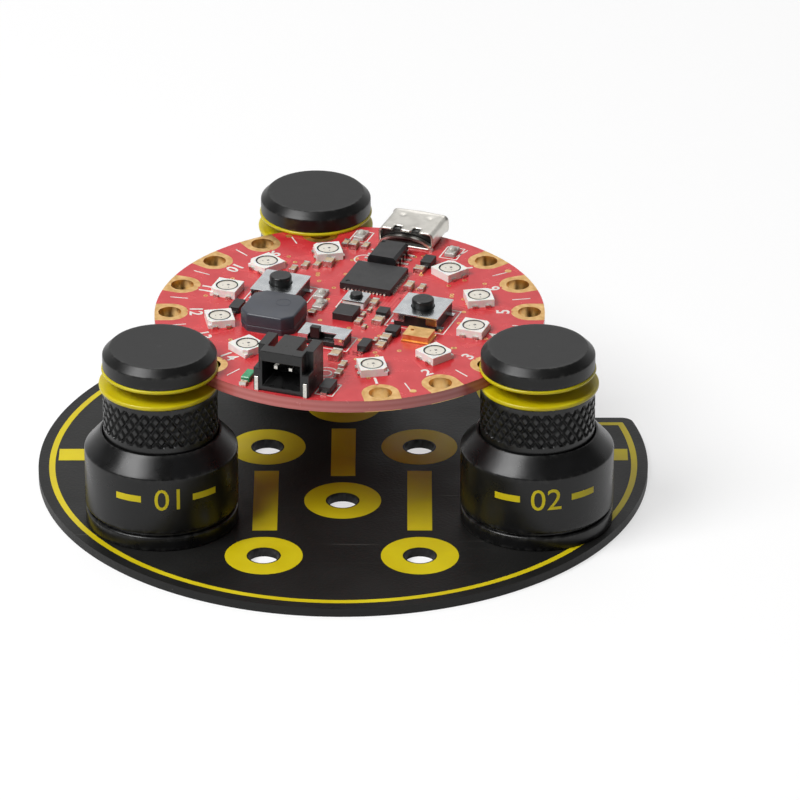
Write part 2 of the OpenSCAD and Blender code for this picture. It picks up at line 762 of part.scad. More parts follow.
// Everything that is tinned: end caps, chip leads and lamp feet
module solder_ends() {
    color("#cfcdc6") {
        for (p = ceramic_places, s = [-1, 1])
            translate([p[0], p[1] + s * p[3] * (1 - ceramic_end) / 2, 0])
                block([p[2], p[3] * ceramic_end, p[4]]);
        for (p = moulded_places, s = [-1, 1])
            translate([p[0], p[1] + s * (p[3] / 2 + 0.25), 0]) block([p[2] * 0.5, 0.5, 0.35]);
        translate([processor_at[0], processor_at[1], 0]) for (q = [0:3]) rotate(90 * q)
            translate([processor_w / 2, 0, 0])
                lead_row(processor_pins, processor_pitch, processor_lead, 0.22, 0.3);
        translate([memory_at[0], memory_at[1], 0]) for (q = [0, 1]) rotate(180 * q)
            translate([memory_size[0] / 2, 0, 0]) lead_row(4, memory_pitch, 1.1, 0.42, 0.8);
        at_pixels() for (x = [-1, 1], y = [-1, 1])
            translate([x * pixel_w * 0.25, y * (pixel_w / 2 + 0.15), 0]) block([0.7, 0.3, 0.35]);
    }
}

// ---- Nodes ----

base_plate();

at_holder(left_angle, reach) foot();  // left_foot
at_holder(left_angle, reach) magnet();  // left_magnet
at_holder(left_angle, reach) housing();  // left_housing
at_holder(left_angle, reach) spindle();  // left_spindle
at_holder(left_angle, reach) spring();  // left_spring
at_holder(left_angle, reach) sleeve();  // left_sleeve
at_holder(left_angle, reach) lower_washer();  // left_lower_washer
at_holder(left_angle, reach) upper_washer();  // left_upper_washer
at_holder(left_angle, reach) cap();  // left_cap

at_holder(right_angle, reach) foot();  // right_foot
at_holder(right_angle, reach) magnet();  // right_magnet
at_holder(right_angle, reach) housing();  // right_housing
at_holder(right_angle, reach) spindle();  // right_spindle
at_holder(right_angle, reach) spring();  // right_spring
at_holder(right_angle, reach) sleeve();  // right_sleeve
at_holder(right_angle, reach) lower_washer();  // right_lower_washer
at_holder(right_angle, reach) upper_washer();  // right_upper_washer
at_holder(right_angle, reach) cap();  // right_cap

at_holder(rear_angle, rear_reach) foot();  // rear_foot
at_holder(rear_angle, rear_reach) magnet();  // rear_magnet
at_holder(rear_angle, rear_reach) housing();  // rear_housing
at_holder(rear_angle, rear_reach) spindle();  // rear_spindle
at_holder(rear_angle, rear_reach) spring();  // rear_spring
at_holder(rear_angle, rear_reach) sleeve();  // rear_sleeve
at_holder(rear_angle, rear_reach) lower_washer();  // rear_lower_washer
at_holder(rear_angle, rear_reach) upper_washer();  // rear_upper_washer
at_holder(rear_angle, rear_reach) cap();  // rear_cap

translate([0, 0, -board_t]) on_board() circuit_board();
translate([0, 0, -board_t]) on_board() pad_eyelets();
on_layout() usb_shell();
on_layout() usb_tongue();
on_layout() battery_socket();
on_layout() battery_pins();
on_layout() buzzer();
on_layout() translate(button_a_at) button_base();  // button_a_base
on_layout() translate(button_a_at) button_cover();  // button_a_cover
on_layout() translate(button_a_at) button_plunger();  // button_a_plunger
on_layout() translate(button_b_at) button_base();  // button_b_base
on_layout() translate(button_b_at) button_cover();  // button_b_cover
on_layout() translate(button_b_at) button_plunger();  // button_b_plunger
on_layout() translate(reset_at) reset_base();
on_layout() translate(reset_at) reset_cover();
on_layout() translate(reset_at) reset_plunger();
on_layout() translate(switch_at) switch_base();
on_layout() translate(switch_at) switch_cover();
on_layout() translate(switch_at) switch_lever();
on_layout() pixel_cases();
on_layout() pixel_lenses();
on_layout() processor();
on_layout() memory_chip();
on_layout() motion_sensor();
on_layout() microphone();
on_layout() status_lamps();
on_layout() moulded_parts();
on_layout() ceramic_bodies();
on_layout() solder_ends();
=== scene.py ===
import bmesh
import bpy
import numpy as np
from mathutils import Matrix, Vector


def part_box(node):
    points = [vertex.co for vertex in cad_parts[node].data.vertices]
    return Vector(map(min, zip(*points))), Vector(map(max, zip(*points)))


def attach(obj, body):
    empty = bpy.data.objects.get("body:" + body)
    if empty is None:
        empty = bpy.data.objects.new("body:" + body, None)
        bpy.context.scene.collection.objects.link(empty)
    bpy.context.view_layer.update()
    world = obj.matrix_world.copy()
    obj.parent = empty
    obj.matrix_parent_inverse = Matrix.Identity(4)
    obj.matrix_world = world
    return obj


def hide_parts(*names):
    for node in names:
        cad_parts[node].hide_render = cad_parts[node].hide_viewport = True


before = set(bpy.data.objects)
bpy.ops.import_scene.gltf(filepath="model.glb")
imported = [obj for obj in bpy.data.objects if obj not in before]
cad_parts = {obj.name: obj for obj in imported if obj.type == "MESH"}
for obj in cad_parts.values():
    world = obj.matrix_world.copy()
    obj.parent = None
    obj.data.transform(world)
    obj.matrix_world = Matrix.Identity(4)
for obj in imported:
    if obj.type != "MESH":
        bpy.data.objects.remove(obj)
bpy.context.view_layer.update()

MM = 0.001
HOLDERS = ("left", "right", "rear")
BOARD_TURN = np.radians(-20)
rng = np.random.default_rng(7)


def middle(node):
    """Centre of a CAD node's box in plan, in millimetres."""
    low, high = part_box(node)
    return np.array([(low.x + high.x) / 2, (low.y + high.y) / 2]) / MM


def span(node):
    """Lowest and highest z of a CAD node, in millimetres."""
    low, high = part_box(node)
    return low.z / MM, high.z / MM


board_middle = middle("circuit_board")
board_low, board_top = span("circuit_board")
plate_low, plate_top = span("base_plate")


# ---- Surfaces as arrays, in millimetres ----

def grid_faces(rows, columns, wrap_rows, wrap_columns):
    """Quads between neighbouring points of a grid, joined round in a direction that wraps."""
    i, j = np.meshgrid(
        np.arange(rows if wrap_rows else rows - 1),
        np.arange(columns if wrap_columns else columns - 1), indexing="ij")
    i2, j2 = (i + 1) % rows, (j + 1) % columns
    return np.stack(
        [i * columns + j, i * columns + j2, i2 * columns + j2, i2 * columns + j], -1
    ).reshape(-1, 4).tolist()


def rounded(corners, radius, steps=5):
    """A closed polygon whose corners are arcs: each arc is tangent to both sides, its centre
    is on the corner's bisector at radius / sin(half the corner's angle), and its points turn
    evenly from one tangent point to the other."""
    p = np.array(corners, float)
    r = np.broadcast_to(np.asarray(radius, float), len(p))[:, None]
    back, on = np.roll(p, 1, 0) - p, np.roll(p, -1, 0) - p
    back /= np.linalg.norm(back, axis=1, keepdims=True)
    on /= np.linalg.norm(on, axis=1, keepdims=True)
    half = np.arccos(np.clip((back * on).sum(1), -1, 1))[:, None] / 2
    bisector = (back + on) / np.linalg.norm(back + on, axis=1, keepdims=True)
    centre = p + bisector * r / np.sin(half)
    first, last = p + back * r / np.tan(half) - centre, p + on * r / np.tan(half) - centre
    turn = (np.pi - 2 * half)[:, None]
    s = np.linspace(0, 1, steps)[None, :, None]
    arc = np.sin((1 - s) * turn) * first[:, None] + np.sin(s * turn) * last[:, None]
    return (centre[:, None] + arc / np.sin(turn)).reshape(-1, 2)


def finer(path, step, closed):
    """The same path with evenly spaced points added, so that no side is longer than step."""
    ends = np.roll(path, -1, 0) if closed else np.vstack([path[1:], path[-1:]])
    parts = np.maximum(np.ceil(np.linalg.norm(ends - path, axis=1) / step), 1).astype(int)
    if not closed:
        parts[-1] = 1
    which = np.repeat(np.arange(len(path)), parts)
    share = (np.arange(len(which)) - np.repeat(np.cumsum(parts) - parts, parts)) / parts[which]
    return path[which] + (ends - path)[which] * share[:, None]


def edge_mark(profile, closed):
    """1 where a profile turns sharply, as on a rounded edge, and 0 on its straight sides."""
    sides = np.roll(profile, -1, 0) - profile
    heading = np.arctan2(sides[:, 1], sides[:, 0])
    turn = np.abs(np.angle(np.exp(1j * (heading - np.roll(heading, 1)))))
    short = np.linalg.norm(sides, axis=1) < 1e-6
    turn[short | np.roll(short, 1)] = 0.3
    if not closed:
        turn[[0, -1]] = 0
    return np.clip(turn / 0.2, 0, 1)


def band(inner, outer, low, high, closed):
    """A flat strip between two rows of plan points: its cross section is the rectangle from
    inner to outer and from low to high, carried along the rows."""
    n = len(inner)
    low, high = np.broadcast_to(low, n), np.broadcast_to(high, n)
    points = np.stack([
        np.c_[outer, low], np.c_[outer, high], np.c_[inner, high], np.c_[inner, low]
    ], 1).reshape(-1, 3)
    faces = grid_faces(n, 4, closed, True)
    if not closed:
        faces += [[0, 1, 2, 3], [4 * n - 1, 4 * n - 2, 4 * n - 3, 4 * n - 4]]
    return points, faces


def track(path, width):
    """The two rows of points half a width to each side of a path, mitred at its bends: each
    point moves along the mean of its two sides' normals, divided by the half bend's cosine."""
    path = np.array(path, float)
    side = np.diff(path, axis=0)
    side /= np.linalg.norm(side, axis=1, keepdims=True)
    before, after = np.vstack([side[:1], side]), np.vstack([side, side[-1:]])
    mean = before + after
    mean /= np.linalg.norm(mean, axis=1, keepdims=True)
    reach = width / 2 / (mean * after).sum(1, keepdims=True)
    normal = np.c_[-mean[:, 1], mean[:, 0]]
    return path - normal * reach, path + normal * reach


def circle(radius, around, centre=(0, 0)):
    """Points at even angles on a circle."""
    a = np.arange(around) * 2 * np.pi / around
    return np.asarray(centre) + radius * np.c_[np.cos(a), np.sin(a)]


def polar(radius, angle):
    """The plan point at a radius and an angle."""
    return radius * np.array([np.cos(angle), np.sin(angle)])


def ring(inner, outer, around, centre=(0, 0)):
    """A flat ring as a closed strip for raised."""
    return circle(inner, around, centre), circle(outer, around, centre), True


def stack(outline, levels):
    """A closed form from one convex outline at several heights: at each level (z, inset) the
    outline's points move in along their normals by inset; the ends are flat faces."""
    ahead, behind = np.roll(outline, -1, 0), np.roll(outline, 1, 0)
    along = ahead - behind
    along /= np.linalg.norm(along, axis=1, keepdims=True)
    inward = np.c_[-along[:, 1], along[:, 0]]
    points = np.concatenate([np.c_[outline + inward * inset, np.full(len(outline), z)]
                             for z, inset in levels])
    n, rows = len(outline), len(levels)
    faces = grid_faces(rows, n, False, True)
    return points, faces + [list(range(n)), list(range(n * rows - 1, n * (rows - 1) - 1, -1))]


def joined(shapes):
    """Several (points, faces) as one."""
    starts = np.cumsum([0] + [len(points) for points, _ in shapes])
    faces = [[i + start for i in face]
             for (_, group), start in zip(shapes, starts) for face in group]
    return np.concatenate([points for points, _ in shapes]), faces


def on_board(points):
    """Points given in the board's own frame, with z from its top face, put in place: turned
    by the board's turn about its centre and moved there."""
    points = np.array(points, float)
    c, s = np.cos(BOARD_TURN), np.sin(BOARD_TURN)
    x, y, z = points.T
    return np.c_[board_middle[0] + c * x - s * y, board_middle[1] + s * x + c * y, board_top + z]


def placed(shape):
    """A shape given in the board's own frame, put in place."""
    points, faces = shape
    return on_board(points), faces


def raised(strips, height, at=0):
    """Strips of the board's frame given as (inner, outer, closed), each height tall and
    starting at a height above the board's top face."""
    return placed(joined([band(inner, outer, at, at + height, closed)
                          for inner, outer, closed in strips]))


def drawn(curve):
    """The mesh that a flat curve or a piece of text fills."""
    pen = bpy.data.objects.new(curve.name, curve)
    bpy.context.scene.collection.objects.link(pen)
    mesh = bpy.data.meshes.new_from_object(
        pen.evaluated_get(bpy.context.evaluated_depsgraph_get()))
    bpy.data.objects.remove(pen)
    return mesh


# ---- Pieces ----

def finish_mesh(mesh, sharp):
    """Joins doubled points, points all faces outwards and shades the surface smooth except
    where two faces meet at more than the angle sharp."""
    bm = bmesh.new()
    bm.from_mesh(mesh)
    bmesh.ops.remove_doubles(bm, verts=bm.verts, dist=1e-7)
    bmesh.ops.recalc_face_normals(bm, faces=bm.faces)
    bm.to_mesh(mesh)
    bm.free()
    mesh.shade_smooth()
    mesh.set_sharp_from_angle(angle=np.radians(sharp))


def make_piece(name, shape, body, material, instead_of=(), sharp=30, marks=None):
    """A piece from (points in millimetres, faces) that rides on a body and takes the given
    material; marks are numbers per point that its material reads."""
    points, faces = shape
    mesh = bpy.data.meshes.new(name)
    mesh.from_pydata((np.asarray(points, float) * MM).tolist(), [], faces)
    for mark, values in (marks or {}).items():
        mesh.attributes.new(mark, "FLOAT", "POINT").data.foreach_set(
            "value", np.asarray(values, np.float32).ravel())
    finish_mesh(mesh, sharp)
    mesh.materials.append(material)
    piece = bpy.data.objects.new(name, mesh)
    bpy.context.scene.collection.objects.link(piece)
    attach(piece, body)
    if instead_of:
        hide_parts(*instead_of)
    return piece


def turned(name, profile, centre, body, material, instead_of=(), closed=False, around=192,
           step=0.5, carve=None):
    """A turned piece: every profile point (radius, z) goes once round the upright axis through
    centre. carve(radius, z, angle) is taken off the radius, as a knurling tool does. A profile
    that isn't closed starts and ends on the axis."""
    profile = finer(profile, step, closed)
    radius, z = (np.broadcast_to(column[:, None], (len(profile), around)) for column in profile.T)
    angle = np.arange(around)[None, :] * 2 * np.pi / around
    mark = np.broadcast_to(edge_mark(profile, closed)[:, None], radius.shape)
    if carve is not None:
        radius = radius - carve(radius, z, angle)
    points = np.stack([centre[0] + radius * np.cos(angle),
                       centre[1] + radius * np.sin(angle), z], -1)
    faces = grid_faces(len(profile), around, closed, True)
    return make_piece(name, (points.reshape(-1, 3), faces), body, material, instead_of,
                      marks={"edge": mark})


def dress(node, material):
    """Gives a CAD node its material."""
    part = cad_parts[node]
    part.data.materials.clear()
    part.data.materials.append(material)
    return part


def soften(node, width, material):
    """Finishes a CAD node that keeps its shape: a weld joins its loose triangles, and a bevel
    rounds the edges that meet at more than 30 degrees."""
    part = dress(node, material)
    weld = part.modifiers.new("weld", "WELD")
    weld.merge_threshold = 1e-6
    bevel = part.modifiers.new("rounded_edges", "BEVEL")
    bevel.width = width * MM
    bevel.segments = 2
    bevel.limit_method = "ANGLE"
    bevel.angle_limit = np.radians(30)


# ---- Materials ----

def colour_of(code):
    """Linear colour of an sRGB hex code: each channel c becomes c / 12.92 up to 0.04045, and
    ((c + 0.055) / 1.055) to the power 2.4 above."""
    c = np.array([int(code[k:k + 2], 16) for k in (1, 3, 5)]) / 255
    return (*np.where(c <= 0.04045, c / 12.92, ((c + 0.055) / 1.055) ** 2.4), 1.0)


def add(tree, kind, values=None, links=None):
    """Adds one shader node, sets its properties or sockets from values, and links its inputs."""
    node = tree.nodes.new(kind)
    for key, value in (values or {}).items():
        if isinstance(key, str) and hasattr(node, key):
            setattr(node, key, value)
        else:
            node.inputs[key].default_value = value
    for key, source in (links or {}).items():
        tree.links.new(source, node.inputs[key])
    return node


def finish(name, tones, tone_mm, grain_mm, grain_depth, roughness, uneven=0.08, metallic=0.0,
           worn=None, **sockets):
    """A material with what every real surface has: two tones that drift into each other over
    tone_mm, a roughness that wanders with them, and a bump of grain_mm wide and grain_depth
    deep. worn is the tone that shows along the rounded edges, where the mark edge is 1."""
    material = bpy.data.materials.new(name)
    material.use_nodes = True
    tree = material.node_tree
    tree.nodes.clear()
    place = add(tree, "ShaderNodeTexCoord").outputs["Object"]
    drift = add(tree, "ShaderNodeTexNoise", {"Scale": 1 / (tone_mm * MM), "Detail": 5.0},
                {"Vector": place})
    share = add(tree, "ShaderNodeMapRange", {"From Min": 0.3, "From Max": 0.7},
                {"Value": drift.outputs["Fac"]}).outputs[0]
    tone = add(tree, "ShaderNodeMix",
               {"data_type": "RGBA", 6: colour_of(tones[0]), 7: colour_of(tones[1])}, {0: share})
    rough = add(tree, "ShaderNodeMapRange",
                {"To Min": roughness - uneven, "To Max": roughness + uneven}, {"Value": share})
    colour = tone.outputs[2]
    if worn:
        edge = add(tree, "ShaderNodeAttribute", {"attribute_name": "edge"}).outputs["Fac"]
        rub = add(tree, "ShaderNodeTexNoise", {"Scale": 1 / (0.7 * MM), "Detail": 6.0},
                  {"Vector": place})
        bare = add(tree, "ShaderNodeMapRange", {"From Min": 0.45, "From Max": 0.7, "To Max": 0.3},
                   {"Value": rub.outputs["Fac"]})
        amount = add(tree, "ShaderNodeMath", {"operation": "MULTIPLY"},
                     {0: bare.outputs[0], 1: edge})
        colour = add(tree, "ShaderNodeMix", {"data_type": "RGBA", 7: colour_of(worn)},
                     {0: amount.outputs[0], 6: colour}).outputs[2]
    grain = add(tree, "ShaderNodeTexNoise", {"Scale": 1 / (grain_mm * MM), "Detail": 3.0},
                {"Vector": place})
    bump = add(tree, "ShaderNodeBump", {"Distance": grain_depth * MM, "Strength": 1.0},
               {"Height": grain.outputs["Fac"]})
    shader = add(tree, "ShaderNodeBsdfPrincipled",
                 {"Metallic": metallic, **{key.replace("_", " "): v for key, v in sockets.items()}},
                 {"Base Color": colour, "Roughness": rough.outputs[0], "Normal": bump.outputs[0]})
    shader.name = "shader"
    tone.name, drift.name, bump.name = "tone", "drift", "bump"
    add(tree, "ShaderNodeOutputMaterial", {}, {"Surface": shader.outputs[0]})
    return material


# Powder-coated steel sheet: satin black with a fine leathery grain from the baked powder.
plate_coat = finish("plate_powder_coat", ("#151514", "#1d1d1c"), 9, 0.42, 0.04, 0.5,
                    IOR=1.36)

# Black anodised turned aluminium: satin, slightly lighter where handling polished the edges.
anodised = finish("black_anodised_aluminium", ("#0d0d0d", "#141415"), 3, 0.14, 0.003, 0.3,
                  uneven=0.05, worn="#5a5a58", IOR=1.4)

# The caps' blasted faces: the same anodising over a matt ground, so they look greyer.
cap_face = finish("blasted_black_anodising", ("#0e0e0e", "#141414"), 3, 0.14, 0.003, 0.36,
                  uneven=0.04, worn="#5e5e5b", IOR=1.4)

# Cut knurling, anodised black: the tool leaves the crests brighter than the grooves.
knurl_finish = finish("knurled_anodised_aluminium", ("#0d0d0d", "#151515"), 2, 0.2, 0.003, 0.3,
                      uneven=0.05, worn="#5c5c5a", IOR=1.48)

# Soft polyurethane washers: translucent lime yellow, light goes a millimetre in.
washer_yellow = finish("soft_polyurethane", ("#c2b000", "#d2c412"), 4, 0.3, 0.01, 0.36,
                       Subsurface_Weight=0.35, Subsurface_Scale=0.001,
                       Subsurface_Radius=(1.0, 0.8, 0.1), IOR=1.49)

# Screen-printed yellow ink on the coat: opaque, satin, and a little thin in places.
yellow_ink = finish("screen_printed_ink", ("#d2bd00", "#dfcd12"), 5, 0.3, 0.012, 0.5)

# Turned mild steel: grey, with tool marks.
steel = finish("turned_steel", ("#6d6e70", "#85868a"), 2, 0.2, 0.01, 0.34, metallic=1.0)

# Spring wire: drawn, brighter than the turned steel.
wire = finish("drawn_spring_wire", ("#9a9a9a", "#b3b3b2"), 1, 0.2, 0.006, 0.28, metallic=1.0)

# Nickel plate on the magnets.
nickel = finish("nickel_plate", ("#b5b2aa", "#c9c6bd"), 4, 0.3, 0.003, 0.2, metallic=1.0)

# Red solder mask: a glossy lacquer whose tone is uneven over copper and bare laminate.
mask = finish("red_solder_mask", ("#c6262e", "#d4383d"), 2.2, 0.5, 0.006, 0.24, uneven=0.05,
              IOR=1.6)

# The same lacquer where copper tracks under it lift it: lighter and glossier.
track_mask = finish("solder_mask_over_copper", ("#d4393f", "#de4b4d"), 1.5, 0.4, 0.004, 0.18,
                    uneven=0.04, IOR=1.6)

# Gold over nickel on copper pads: warm and pale, dulled by a fine plated grain.
gold = finish("gold_plate", ("#dba860", "#f0c98c"), 0.8, 0.25, 0.012, 0.36, metallic=1.0)

# Tin plate and solder: grey white, rippled where it froze.
tin = finish("tinned_solder", ("#bfbcb4", "#e2dfd8"), 0.5, 0.35, 0.03, 0.28, metallic=1.0)

# Rolled stainless sheet of the USB shell: pale, fine lines, soft reflections.
shell_steel = finish("rolled_stainless_sheet", ("#cbc8c0", "#dedbd4"), 1.5, 0.2, 0.004, 0.38,
                     uneven=0.05, metallic=1.0)

# Stamped bright sheet of the button covers: pale, with soft reflections.
cover_steel = finish("stamped_bright_sheet", ("#d0d4d7", "#e6e9ea"), 1.5, 0.6, 0.004, 0.2,
                     uneven=0.05, metallic=1.0)

# Glass-filled black nylon of sockets and switches: satin with a faint speckle.
nylon = finish("black_glass_filled_nylon", ("#101010", "#1a1a1a"), 0.6, 0.18, 0.008, 0.34)

# Buzzer case: dark blue grey moulded resin.
buzzer_grey = finish("blue_grey_resin", ("#34373f", "#3f434c"), 1.8, 0.2, 0.008, 0.36)

# Epoxy chip packages: matt black, finely sandy.
epoxy = finish("epoxy_moulding", ("#1a1a1b", "#232324"), 1.2, 0.14, 0.006, 0.42)

# White lamp cases: glossy moulded resin, a little uneven from the flow.
lamp_white = finish("white_lamp_resin", ("#ece9e4", "#f6f3ee"), 1.2, 0.3, 0.006, 0.3,
                    Subsurface_Weight=0.15, Subsurface_Scale=0.0005)

# Lamp filling: clear silicone tinted cream, glossy and nearly level.
lamp_lens = finish("cream_silicone", ("#dcd5c6", "#ebe5d8"), 0.8, 0.4, 0.004, 0.12,
                   uneven=0.03, Coat_Weight=0.6, Coat_Roughness=0.05)

# Cast epoxy of the small lamps: clear and glossy, and one of them tinted green.
lamp_clear = finish("water_clear_epoxy", ("#dedbd2", "#efece4"), 0.8, 0.4, 0.003, 0.08,
                    uneven=0.03, Transmission_Weight=0.45, IOR=1.5)
lamp_green = finish("green_tinted_epoxy", ("#2f8a5c", "#4aa877"), 0.6, 0.3, 0.003, 0.15,
                    uneven=0.03)

# Ceramic capacitor bodies: fired tan, matt with a fine grain.
ceramic = finish("fired_tan_ceramic", ("#b89b78", "#d3bd9e"), 0.8, 0.12, 0.01, 0.45)

# White legend ink: opaque and matt, slightly uneven where the screen pressed it.
white_ink = finish("white_legend_ink", ("#d9d7d0", "#eeece6"), 1.0, 0.2, 0.008, 0.5)

# Wall of the lamps' wells: painted shade, nearly black, because little light leaves it.
painted_well_shade = finish("shaded_recess", ("#0b0b0b", "#121212"), 0.5, 0.2, 0.01, 0.6)


def facing(tree, low, high):
    """0 on upright faces and 1 on level ones, from the face's own normal: the size of its z
    part, spread from low to high."""
    normal = add(tree, "ShaderNodeSeparateXYZ", {},
                 {0: add(tree, "ShaderNodeNewGeometry").outputs["True Normal"]})
    level = add(tree, "ShaderNodeMath", {"operation": "ABSOLUTE"}, {0: normal.outputs["Z"]})
    return add(tree, "ShaderNodeMapRange", {"From Min": low, "From Max": high},
               {"Value": level.outputs[0]}).outputs[0]


WAVE_TURN = 0.314  # a wave texture at this scale repeats once in every unit of length


def laminate_edge(material):
    """Where the board was cut, the lacquer ends: the pinkish laminate shows its glass layers.
    They are 0.2 mm apart, too fine to show, so they are drawn 0.8 mm apart."""
    tree = material.node_tree
    shader = tree.nodes["shader"]
    place = add(tree, "ShaderNodeTexCoord").outputs["Object"]
    layers = add(tree, "ShaderNodeTexWave",
                 {"bands_direction": "Z", "Scale": WAVE_TURN / (0.8 * MM), "Distortion": 0.0,
                  "Detail": 0.0}, {"Vector": place})
    cut = add(tree, "ShaderNodeMix",
              {"data_type": "RGBA", 6: colour_of("#bd5f5b"), 7: colour_of("#c8716c")},
              {0: layers.outputs["Fac"]})
    level = facing(tree, 0.4, 0.6)
    colour = add(tree, "ShaderNodeMix", {"data_type": "RGBA"},
                 {0: level, 6: cut.outputs[2], 7: tree.nodes["tone"].outputs[2]})
    tree.links.new(colour.outputs[2], shader.inputs["Base Color"])


laminate_edge(mask)


def rubbed_plate(material):
    """The coat is rubbed lighter along the plate's rounded edges, and carries a few long faint
    scratches: noise stretched forty to one."""
    tree = material.node_tree
    shader = tree.nodes["shader"]
    place = add(tree, "ShaderNodeTexCoord").outputs["Object"]
    level = facing(tree, 0.05, 0.12)
    flat = facing(tree, 0.9, 0.98)
    slope = add(tree, "ShaderNodeMath", {"operation": "SUBTRACT"}, {0: level, 1: flat})
    rub = add(tree, "ShaderNodeTexNoise", {"Scale": 1 / (2.5 * MM), "Detail": 6.0},
              {"Vector": place})
    patch = add(tree, "ShaderNodeMapRange", {"From Min": 0.4, "From Max": 0.75, "To Max": 0.8},
                {"Value": rub.outputs["Fac"]})
    worn = add(tree, "ShaderNodeMath", {"operation": "MULTIPLY"},
               {0: slope.outputs[0], 1: patch.outputs[0]})
    stretch = add(tree, "ShaderNodeMapping", {"Rotation": (0, 0, 0.5), "Scale": (0.025, 1, 1)},
                  {"Vector": place})
    lines = add(tree, "ShaderNodeTexNoise", {"Scale": 1 / (0.5 * MM), "Detail": 2.0},
                {"Vector": stretch.outputs[0]})
    scratch = add(tree, "ShaderNodeMapRange", {"From Min": 0.72, "From Max": 0.78, "To Max": 0.25},
                  {"Value": lines.outputs["Fac"]})
    both = add(tree, "ShaderNodeMath", {"operation": "MAXIMUM"},
               {0: worn.outputs[0], 1: scratch.outputs[0]})
    colour = add(tree, "ShaderNodeMix", {"data_type": "RGBA", 7: colour_of("#787672")},
                 {0: both.outputs[0], 6: tree.nodes["tone"].outputs[2]})
    tree.links.new(colour.outputs[2], shader.inputs["Base Color"])


rubbed_plate(plate_coat)


# ---- Base plate ----

NOTCH = np.array([19.8, 12.4])
NOTCH_R, NOTCH_CORNER = 9, 1.6
HOLE_R, PAD_R, INK = 2, 5, 0.02
RAIL_W, BORDER = 3.2, (2.2, 1.4)
HOLES = [(-10, -26), (10, -26), (-10, 4), (10, 4), (0, -11), (0, 16)]
plate_r = -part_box("base_plate")[0].x / MM


def plate_outline(inset):
    """The plate's rim moved in by inset: the long arc of the disc, an arc that rounds each
    corner where the notch meets it, and the notch's two straight edges with the quarter
    circle between them. Every inset gives the same number of points, one for one."""
    r = plate_r - inset
    x, y = NOTCH - inset
    corner = max(NOTCH_CORNER - inset, 0.05)
    front = np.array([np.sqrt((r - corner) ** 2 - (y - corner) ** 2), y - corner])
    rear = np.array([x - corner, np.sqrt((r - corner) ** 2 - (x - corner) ** 2)])
    front_turn, rear_turn = np.arctan2(front[1], front[0]), np.arctan2(rear[1], rear[0])

    def arc(centre, radius, start, end, count):
        a = np.linspace(start, end, count)
        return centre + radius * np.c_[np.cos(a), np.sin(a)]

    return np.vstack([
        arc(front, corner, front_turn, np.pi / 2, 10),
        arc(NOTCH + NOTCH_R, NOTCH_R + inset, 1.5 * np.pi, np.pi, 28),
        arc(rear, corner, 0, rear_turn, 10),
        arc(np.zeros(2), r, rear_turn, front_turn + 2 * np.pi, 340)[1:-1],
    ])


def cut_sheet(name, outlines, low, high):
    """A flat sheet: the area inside the first outline and outside the others, from low to
    high."""
    curve = bpy.data.curves.new(name, "CURVE")
    curve.dimensions, curve.fill_mode = "2D", "BOTH"
    curve.extrude = (high - low) / 2 * MM
    for outline in outlines:
        spline = curve.splines.new("POLY")
        spline.points.add(len(outline) - 1)
        spline.points.foreach_set(
            "co", np.c_[outline * MM, np.zeros(len(outline)), np.ones(len(outline))].ravel())
        spline.use_cyclic_u = True
    mesh = drawn(curve)
    points = np.array([v.co for v in mesh.vertices]) / MM + [0, 0, (low + high) / 2]
    return points, [list(p.vertices) for p in mesh.polygons]


plate = make_piece(
    "plate",
    cut_sheet("sheet", [plate_outline(0)] + [circle(HOLE_R, 72, hole) for hole in HOLES],
              plate_low, plate_top),
    "base", plate_coat, ["base_plate"])
rim = plate.modifiers.new("rounded_rim", "BEVEL")
rim.width, rim.segments, rim.limit_method = 0.14 * MM, 3, "ANGLE"
rim.angle_limit = np.radians(40)
plate.modifiers.new("flat_faces", "WEIGHTED_NORMAL")

ink_top = plate_top + INK
marks = [band(*(plate_outline(inset) for inset in BORDER), plate_top, ink_top, True)]
marks += [band(circle(HOLE_R + 0.2, 96, hole), circle(PAD_R, 96, hole), plate_top, ink_top, True)
          for hole in HOLES]
# rails between two holes each, and index ticks inside the border
rails = [((-10, -19.2), (-10, -2.8)), ((10, -19.2), (10, -2.8)), ((0, -4.2), (0, 9.2)),
         ((-37.4, 1.8), (-31, 1.8)), ((31, 1.8), (37.4, 1.8))]
marks += [band(*track(rail, RAIL_W), plate_top, ink_top, False) for rail in rails]
make_piece("plate_print", joined(marks), "base", yellow_ink)


# ---- Holders ----

# foot, housing and sleeve, in millimetres: radii and heights
WALL_R, SLEEVE_R, SLEEVE_BORE_R, SPINDLE_HOLE_R, FOOT_R = 9.9, 7.4, 5.9, 3.6, 8.6
MAGNET_TOP, FOOT_TOP, HOUSING_FLOOR, SHOULDER, SLEEVE_ROOF = 4.75, 6.05, 7.45, 11.55, 17.9
# knurled band: heights, grooves of each family round it, climb per groove, depth, half width
# as a share of the spacing
KNURL_LOW, KNURL_HIGH = 14.75, 19.55
KNURL_AROUND, KNURL_RISE, KNURL_DEPTH, KNURL_HALF = 33, 1.9, 0.32, 0.25
# printed number: heading, height above the plate's underside, height of the digits
NUMBER_HEADING, NUMBER_Z, NUMBER_H = np.radians(-84), 8.7, 3.1


def knurl(radius, z, angle):
    """Two crossing families of V grooves on the sleeve's outer wall. The depth falls off
    linearly from each groove's middle, so that flat diamonds stand between them; both ends
    of the band are plain."""
    turn, climb = KNURL_AROUND * angle / (2 * np.pi), (z - KNURL_LOW) / KNURL_RISE
    one, two = turn + climb, turn - climb
    away = np.minimum(np.abs(one - np.round(one)), np.abs(two - np.round(two)))
    cut = KNURL_DEPTH * (1 - np.clip(away / KNURL_HALF, 0, 1))
    inside = (z > KNURL_LOW) & (z < KNURL_HIGH) & (radius > SLEEVE_R - 0.1)
    return np.where(inside, cut, 0)


